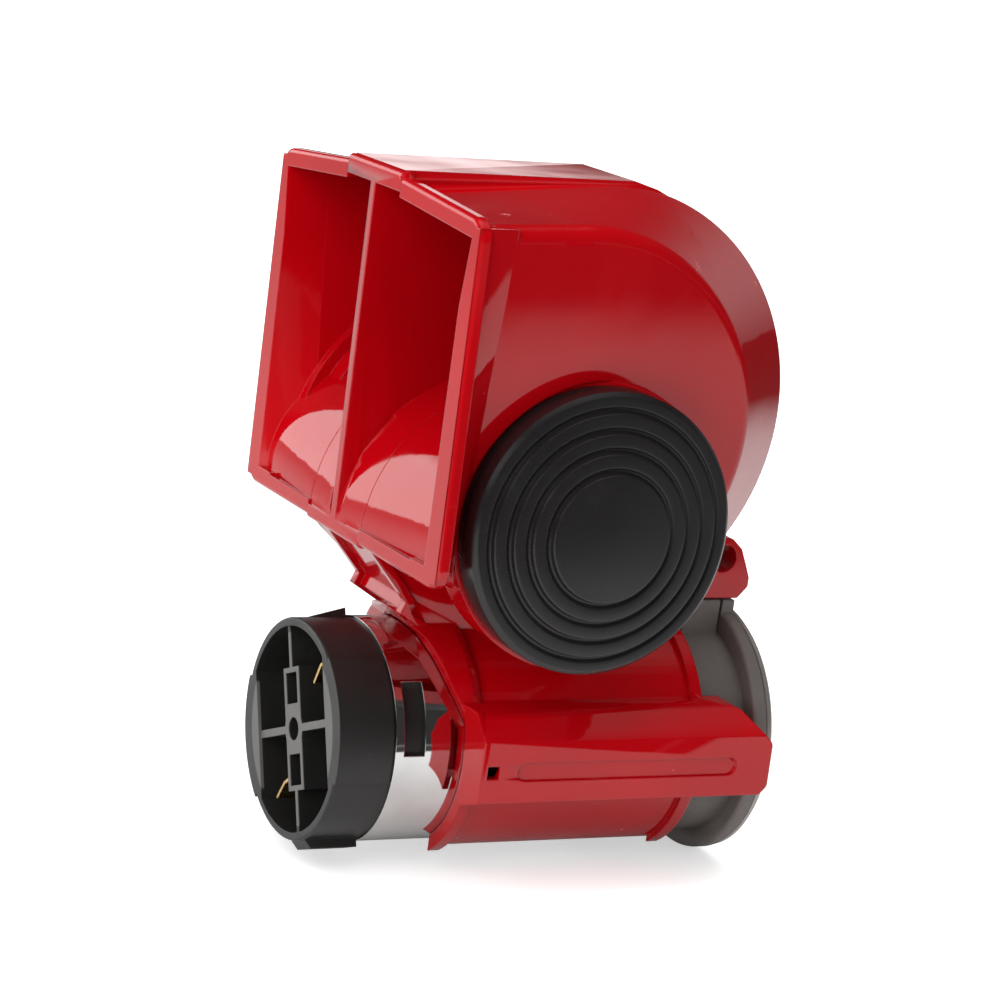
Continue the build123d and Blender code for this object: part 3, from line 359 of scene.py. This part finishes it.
# Turns what the modifiers show into the object's own mesh
def applied(piece):
    graph = bpy.context.evaluated_depsgraph_get()
    graph.update()
    finished = bpy.data.meshes.new_from_object(piece.evaluated_get(graph))
    finished.name = piece.name
    piece.modifiers.clear()
    piece.data = finished


def combine(piece, tool, kind):
    step = piece.modifiers.new("combine", "BOOLEAN")
    step.object = tool
    step.operation = kind
    applied(piece)
    bpy.data.objects.remove(tool)


def grow(name, base, tree, values):
    piece = placeObject(name, base)
    modifier = piece.modifiers.new("grow", "NODES")
    modifier.node_group = tree
    for item in tree.interface.items_tree:
        if item.in_out == "INPUT" and item.name in values:
            modifier[item.identifier] = values[item.name]
    applied(piece)
    return piece


def meshOf(name, work):
    mesh = bpy.data.meshes.new(name)
    work.to_mesh(mesh)
    work.free()
    return mesh


def faceOutwards(mesh):
    work = bmesh.new()
    work.from_mesh(mesh)
    bmesh.ops.recalc_face_normals(work, faces=work.faces)
    work.to_mesh(mesh)
    work.free()
    mesh.shade_smooth()


# The middle moulding's front: the hood's raised edge and the wall that closes both side channels.
# Sizes in mm, angle in degrees; X runs back from the face of the motor's end cap and Z up from the
# motor axis
moulding = {
    "capFace": -86.9,
    "boreRadius": 21.75,
    "edgeRadius": 24.46,
    "hoodFront": ((15.8, 25.2), (20.2, 20.8), (22.6, 14.0), (25.7, 6.9)),
    "hoodBack": 27.5,
    "hoodEnd": 26.7,
    "tubeFront": 25.7,
    "channelFront": (24.4, 25.6),
    "channelSection": ((0.0, -16.9), (32.0, -4.9), (32.0, 7.0), (27.6, 11.4)),  # half of it, in Y and Z
    "segments": 192,
    "sharp": 22.0,
}


def redSolid(name, corners, faces):
    mesh = bpy.data.meshes.new(name)
    mesh.from_pydata([tuple(v * mm for v in corner) for corner in corners], [], faces)
    mesh.transform(Matrix.Translation((moulding["capFace"] * mm, 0, motorAxisHeight)))
    mesh.materials.append(materials["red"])
    faceOutwards(mesh)
    return placeObject(name, mesh)


# An outline in X and Z run along Y, or one in Y and Z run along X
def prism(name, outline, low, high, along):
    corners = []
    for level in (low, high):
        corners += [(a, level, b) if along == "Y" else (level, a, b) for a, b in outline]
    count = len(outline)
    faces = [tuple(range(count)), tuple(range(count, 2 * count))]
    faces += [(i, (i + 1) % count, (i + 1) % count + count, i + count) for i in range(count)]
    return redSolid(name, corners, faces)


# A round bar or, with an inner radius, a sleeve on the motor axis
def barrel(name, low, high, radius, inner=None):
    count = moulding["segments"]
    rings = [(low, radius), (high, radius)] + ([(high, inner), (low, inner)] if inner else [])
    turns = [2 * math.pi * i / count for i in range(count)]
    corners = [(x, r * math.cos(t), r * math.sin(t)) for x, r in rings for t in turns]
    pairs = [(0, 1), (1, 2), (2, 3), (3, 0)] if inner else [(0, 1)]
    faces = [(a * count + i, a * count + (i + 1) % count, b * count + (i + 1) % count, b * count + i)
             for a, b in pairs for i in range(count)]
    if not inner:
        faces += [tuple(range(count)), tuple(range(count, 2 * count))]
    return redSolid(name, corners, faces)


# Large flat faces keep their own normal where they run into a rounded edge
def evenNormals(piece):
    even = piece.modifiers.new("even", "WEIGHTED_NORMAL")
    even.mode = "FACE_AREA"
    even.weight = 100
    even.keep_sharp = True
    applied(piece)


def mergedCopy(name, node):
    work = bmesh.new()
    work.from_mesh(nodes[node].data)
    bmesh.ops.remove_doubles(work, verts=work.verts, dist=weld)
    mesh = meshOf(name, work)
    mesh.materials.append(nodes[node].material_slots[0].material)
    return placeObject(name, mesh)


def makeMoulding(spec):
    piece = mergedCopy("middle_moulding", "centre_housing")
    front, back = spec["hoodFront"], spec["hoodBack"]
    reach = 2 * spec["edgeRadius"]
    hood = barrel("hood", front[0][0], spec["hoodEnd"], spec["edgeRadius"], spec["boreRadius"])
    outline = [*front, (back, front[-1][1]), (back, reach), (front[0][0], reach)]
    combine(hood, prism("hood_side", outline, -reach, reach, "Y"), "INTERSECT")
    combine(piece, hood, "UNION")
    half = spec["channelSection"]
    section = [(-y, z) for y, z in reversed(half[1:])] + list(half)
    wall = prism("channel_ends", section, *spec["channelFront"], "X")
    combine(wall, barrel("room", 0, spec["tubeFront"], spec["edgeRadius"]), "DIFFERENCE")
    combine(piece, wall, "UNION")
    faceOutwards(piece.data)
    piece.data.set_sharp_from_angle(angle=math.radians(spec["sharp"]))
    evenNormals(piece)
    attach(piece, "housing")
    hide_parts("centre_housing")


makeMoulding(moulding)
print("stage: moulding finished")

# Diaphragm covers: a turned cup whose steps have rounded edges and a groove at the foot of each.
# Sizes in mm, radii of the four steps from the outside in
cover = {
    "radius": 26.6,
    "skirt": 6.5,
    "steps": (23.7, 20.1, 16.6, 12.9),
    "rise": 0.775,
    "groove": (0.95, 0.42),  # width and depth
    "foot": 0.1,  # the groove's floor ends this far inside the step
    "lean": 0.25,  # how far the groove's walls lean
    "rim": 0.9,
    "wall": 1.8,
    "edgeRound": 0.34,
    "roundSteps": 4,
    "segments": 160,
}


def coverProfile(spec):
    radius, skirt, rise = spec["radius"], spec["skirt"], spec["rise"]
    width, depth = spec["groove"]
    foot, lean = spec["foot"], spec["lean"]
    points = [(0, skirt + rise * len(spec["steps"]))]
    for index in reversed(range(len(spec["steps"]))):
        step = spec["steps"][index]
        low = skirt + rise * index
        points += [(step - width, low + rise), (step - width + lean, low - depth),
                   (step - foot, low - depth), (step + lean, low)]
    points += [(radius - spec["rim"], skirt), (radius, skirt - spec["rim"]), (radius, 0),
               (radius - spec["wall"], 0), (radius - spec["wall"], skirt - spec["wall"]),
               (0, skirt - spec["wall"])]
    return points


def makeCovers(spec):
    sizes = {"Radius": "NodeSocketFloat", "Edge Round": "NodeSocketFloat", "Round Steps": "NodeSocketInt",
             "Segments": "NodeSocketInt", "Material": "NodeSocketMaterial"}
    g, given = newTree("turned_cover", sizes)
    profile = g.add("GeometryNodeMeshToCurve", {0: given["Geometry"]}).outputs[0]
    rounded = g.add("GeometryNodeFilletCurve", {"Curve": profile, "Count": given["Round Steps"],
                                                "Radius": given["Edge Round"], "Limit Radius": True},
                    mode="POLY").outputs[0]
    circle = g.add("GeometryNodeCurvePrimitiveCircle", {"Resolution": given["Segments"],
                                                        "Radius": given["Radius"]}).outputs[0]
    turned = g.add("GeometryNodeCurveToMesh", {"Curve": circle, "Profile Curve": rounded}).outputs[0]
    endTree(g, turned, given["Material"])
    points = [((r - spec["radius"]) * mm, -h * mm, 0.0) for r, h in coverProfile(spec)]
    values = {"Radius": spec["radius"] * mm, "Edge Round": spec["edgeRound"] * mm,
              "Round Steps": spec["roundSteps"], "Segments": spec["segments"],
              "Material": materials["cover"]}
    for side, way in (("left", -1), ("right", 1)):
        node = side + "_diaphragm_cover"
        low, high = (Vector(corner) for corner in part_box(node))
        base = bpy.data.meshes.new("cover_profile")
        base.from_pydata(points, [(i, i + 1) for i in range(len(points) - 1)], [])
        piece = grow(side + "_stepped_cover", base, g.tree, values)
        seat = high.y if way < 0 else low.y
        place = Matrix.Translation(((low.x + high.x) / 2, seat, (low.z + high.z) / 2))
        piece.data.transform(place @ Matrix.Rotation(-way * math.pi / 2, 4, "X"))
        faceOutwards(piece.data)
        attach(piece, "housing")
        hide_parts(node)


makeCovers(cover)
print("stage: covers turned")

# Pump cover screws: pan heads with a cross recess, in mm and degrees
screw = {
    "headRadius": 2.8,
    "head": 1.8,
    "dome": 0.55,
    "shankRadius": 1.28,
    "shank": 7.4,
    "circle": 18.4,  # radius on which they stand
    "count": 4,
    "turn": 45.0,
    "cross": {"length": 2.9, "width": 0.62, "depth": 0.95, "taper": 0.62, "above": 0.2},
    "domeInset": 0.03,  # share of the head's radius
    "domeSteps": 6,
    "sideDrop": 0.15,
    "footRound": 0.1,
    "segments": 40,
    "sharp": 35.0,
}


def screwMesh(spec):
    r, top, dome, foot = spec["headRadius"], spec["head"], spec["dome"], spec["footRound"]
    profile = [(0, top)]
    for step in range(1, spec["domeSteps"] + 1):
        slope = step / spec["domeSteps"] * math.pi / 2
        profile.append((r * math.sin(slope) * (1 - spec["domeInset"]), top - dome * (1 - math.cos(slope))))
    shank, end = spec["shankRadius"], -spec["shank"]
    profile += [(r, top - dome - spec["sideDrop"]), (r, foot), (r - foot, 0)]
    profile += [(shank, 0), (shank, end), (0, end)]
    work = bmesh.new()
    verts = [work.verts.new((x * mm, 0, z * mm)) for x, z in profile]
    edges = [work.edges.new(pair) for pair in zip(verts, verts[1:])]
    bmesh.ops.spin(work, geom=verts + edges, cent=(0, 0, 0), axis=(0, 0, 1), angle=2 * math.pi,
                   steps=spec["segments"], use_merge=True)
    bmesh.ops.remove_doubles(work, verts=work.verts, dist=weld)
    bmesh.ops.recalc_face_normals(work, faces=work.faces)
    return meshOf("pan_screw", work)


# A cross that is narrower at the bottom of the recess
def crossCutter(spec):
    cross, head = spec["cross"], spec["head"]
    arm, half = cross["length"] / 2, cross["width"] / 2
    quarter = [(arm, -half), (arm, half), (half, half)]
    outline = []
    for turn in range(4):
        outline += quarter
        quarter = [(-y, x) for x, y in quarter]
    work = bmesh.new()
    loops = []
    for level, size in ((head - cross["depth"], cross["taper"]), (head + cross["above"], 1.0)):
        loops.append([work.verts.new((x * size * mm, y * size * mm, level * mm)) for x, y in outline])
        work.faces.new(loops[-1])
    low, high = loops
    for i in range(len(outline)):
        work.faces.new((low[i - 1], low[i], high[i], high[i - 1]))
    bmesh.ops.recalc_face_normals(work, faces=work.faces)
    return meshOf("cross_cutter", work)


def makeScrews(spec):
    single, cutter = (placeObject(mesh.name, mesh) for mesh in (screwMesh(spec), crossCutter(spec)))
    for item in (single, cutter):
        item.data.materials.append(materials["screw_steel"])
    combine(single, cutter, "DIFFERENCE")
    sizes = {"Circle Radius": "NodeSocketFloat", "Count": "NodeSocketInt", "Turn": "NodeSocketFloat",
             "Screw": "NodeSocketObject", "Material": "NodeSocketMaterial"}
    g, given = newTree("screw_circle", sizes)
    circle = g.add("GeometryNodeMeshCircle", {"Vertices": given["Count"],
                                              "Radius": given["Circle Radius"]}).outputs[0]
    spin = g.add("ShaderNodeCombineXYZ", {"Z": given["Turn"]}).outputs[0]
    spun = g.add("GeometryNodeTransform", {"Geometry": circle, "Rotation": spin}).outputs[0]
    model = g.add("GeometryNodeObjectInfo", {"Object": given["Screw"]}).outputs["Geometry"]
    placed = g.add("GeometryNodeInstanceOnPoints", {"Points": spun, "Instance": model}).outputs[0]
    endTree(g, placed, given["Material"])
    values = {"Circle Radius": spec["circle"] * mm, "Count": spec["count"],
              "Turn": math.radians(spec["turn"]), "Screw": single, "Material": materials["screw_steel"]}
    piece = grow("cover_screws", bpy.data.meshes.new("screw_seed"), g.tree, values)
    low, high = (Vector(corner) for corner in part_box("pump_screws"))
    place = Matrix.Translation((high.x - spec["head"] * mm, 0, (low.z + high.z) / 2))
    piece.data.transform(place @ Matrix.Rotation(math.pi / 2, 4, "Y"))
    faceOutwards(piece.data)
    piece.data.set_sharp_from_angle(angle=math.radians(spec["sharp"]))
    bpy.data.objects.remove(single)
    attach(piece, "housing")
    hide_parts("pump_screws")


makeScrews(screw)
print("stage: screws set")

# Studio: a pale floor, soft lamps, and the bright panels that glossy surfaces show. In their
# reflections the floor is a table that ends in front of the object and runs on to the left, in a dim
# room. A panel's place is its azimuth from +Y towards +X and its elevation, and its size is half its
# width and height, all in degrees.
studio = {
    "floor": (0.80, 0.80, 0.80),
    "floorHalf": 8.0,
    "floorGlow": (0.50, 1.0),
    "glowReach": (0.10, 0.60),
    "tableEdge": -0.235,
    "tableFade": (0.01, 0.045),
    "tableReach": (0.75, 0.35),
    "tableWave": {"scale": 9.0, "size": 0.05},
    "leftSide": (0.0, -0.15),
    "leftFade": (0.0, 0.03),
    "room": {"from": (-0.6, -0.9), "tone": 0.28, "dimmest": 0.06},
    "worldSeen": 1.0,
    "worldLight": 0.55,
    "worldGloss": 0.04,
    "lights": {
        "left_box": {"place": (-0.75, -0.35, 0.35), "size": (0.7, 0.9), "power": 8.5},
        "top_box": {"place": (0.05, -0.05, 0.85), "size": (0.8, 0.7), "power": 4.5},
        "front_box": {"place": (0.10, -0.95, 0.30), "size": (0.5, 0.4), "power": 0.5},
    },
    "panels": {
        "back_strip": {"place": (20, 11), "size": (11, 3.8), "soft": 0.03, "glow": 2.0},
        "back_wall": {"place": (55, 9), "size": (22, 8), "soft": 0.12, "glow": 0.35},
        "back_left": {"place": (-38, 8), "size": (26, 18), "soft": 0.08, "glow": 2.8},
        "left_side": {"place": (-105, 30), "size": (22, 14), "soft": 0.10, "glow": 1.0},
        "overhead": {"place": (0, 88), "size": (28, 22), "soft": 0.25, "glow": 0.9},
    },
    "target": (-0.03, 0.0, 0.02),
}
white = (1.0, 1.0, 1.0, 1.0)
sideOn = (0.02, 0.05)  # a panel fades out where the view passes its plane


def facing(place, target):
    return (Vector(target) - Vector(place)).to_track_quat("-Z", "Y").to_matrix().to_4x4()


def makeFloor(spec):
    lowest, half = cadBox[0].z, spec["floorHalf"]
    mesh = bpy.data.meshes.new("floor")
    corners = [(x * half, y * half, lowest) for x, y in ((-1, -1), (1, -1), (1, 1), (-1, 1))]
    mesh.from_pydata(corners, [], [(0, 1, 2, 3)])
    floor = placeObject("floor", mesh)
    material, g = newMaterial("floor_paper")
    path = g.add("ShaderNodeLightPath")
    where = g.coords()
    across = g.add("ShaderNodeSeparateXYZ", {0: where})
    away = g.add("ShaderNodeVectorMath", {0: where}, operation="LENGTH").outputs["Value"]
    edge, wave, room = spec["tableEdge"], spec["tableWave"], spec["room"]
    wobble = g.math("MULTIPLY", g.noise(wave["scale"], where, detail=1.0), wave["size"])
    front = g.math("ADD", across.outputs["Y"], wobble)
    inFront, onLeft = (g.ramp(front, *(edge + fade for fade in spec[k])) for k in ("tableFade", "leftFade"))
    table = g.math("MULTIPLY", inFront, g.ramp(away, *spec["tableReach"]))
    leftSide = g.math("MULTIPLY", g.ramp(across.outputs["X"], *spec["leftSide"]), onLeft)
    beyond = g.math("MULTIPLY", g.ramp(across.outputs["Y"], *room["from"]), room["tone"])
    tone = g.math("MAXIMUM", g.math("MAXIMUM", table, leftSide), g.math("ADD", beyond, room["dimmest"]))
    seen = g.math("MAXIMUM", g.math("SUBTRACT", 1.0, path.outputs["Is Glossy Ray"]), tone)
    plain = g.add("ShaderNodeBsdfDiffuse", {"Color": g.mix(seen, (0, 0, 0), spec["floor"])})
    glow = g.ramp(away, *spec["glowReach"], *spec["floorGlow"])
    shine = g.add("ShaderNodeEmission", {"Color": white, "Strength": glow})
    both = g.add("ShaderNodeAddShader", {0: plain.outputs[0], 1: shine.outputs[0]})
    pick = g.add("ShaderNodeMixShader", {0: path.outputs["Is Camera Ray"], 1: plain.outputs[0],
                                         2: both.outputs[0]})
    g.add("ShaderNodeOutputMaterial", {"Surface": pick.outputs[0]})
    mesh.materials.append(material)


def panelMask(g, way, panel):
    azimuth, height = (math.radians(v) for v in panel["place"])
    ahead = Vector((math.sin(azimuth) * math.cos(height), math.cos(azimuth) * math.cos(height),
                    math.sin(height)))
    right = Vector((math.cos(azimuth), -math.sin(azimuth), 0.0))
    up = right.cross(ahead)
    depth = g.dot(way, ahead)
    mask = g.ramp(depth, *sideOn)
    for axis, half in zip((right, up), panel["size"]):
        reach = math.tan(math.radians(half))
        share = g.math("DIVIDE", g.dot(way, axis), g.math("MAXIMUM", depth, sideOn[0]))
        inside = g.ramp(g.math("ABSOLUTE", share), reach + panel["soft"], reach - panel["soft"])
        mask = g.math("MULTIPLY", mask, inside)
    return g.math("MULTIPLY", mask, panel["glow"])


def makeWorld(spec):
    world = bpy.data.worlds.new("studio")
    bpy.context.scene.world = world
    world.use_nodes = True
    g = Graph(world.node_tree)
    path = g.add("ShaderNodeLightPath")
    way = g.add("ShaderNodeTexCoord").outputs["Generated"]
    gloss = spec["worldGloss"]
    for panel in spec["panels"].values():
        gloss = g.math("ADD", gloss, panelMask(g, way, panel))
    seen = g.math("MAXIMUM", path.outputs["Is Camera Ray"], path.outputs["Is Transmission Ray"])
    strength = g.ramp(seen, 0.0, 1.0, spec["worldLight"], spec["worldSeen"], smooth=False)
    strength = g.add("ShaderNodeMix", {0: path.outputs["Is Glossy Ray"], 2: strength, 3: gloss}).outputs[0]
    light = g.add("ShaderNodeBackground", {"Color": white, "Strength": strength})
    g.add("ShaderNodeOutputWorld", {"Surface": light.outputs[0]})


def makeStudio(spec):
    makeFloor(spec)
    makeWorld(spec)
    for name, lamp in spec["lights"].items():
        data = bpy.data.lights.new(name, "AREA")
        data.shape = "RECTANGLE"
        data.size, data.size_y = lamp["size"]
        data.energy = lamp["power"]
        box = bpy.data.objects.new(name, data)
        box.matrix_world = Matrix.Translation(lamp["place"]) @ facing(lamp["place"], spec["target"])
        box.visible_glossy = False
        bpy.context.scene.collection.objects.link(box)


makeStudio(studio)
bpy.context.scene.view_settings.view_transform = "Standard"
print("stage: studio set")
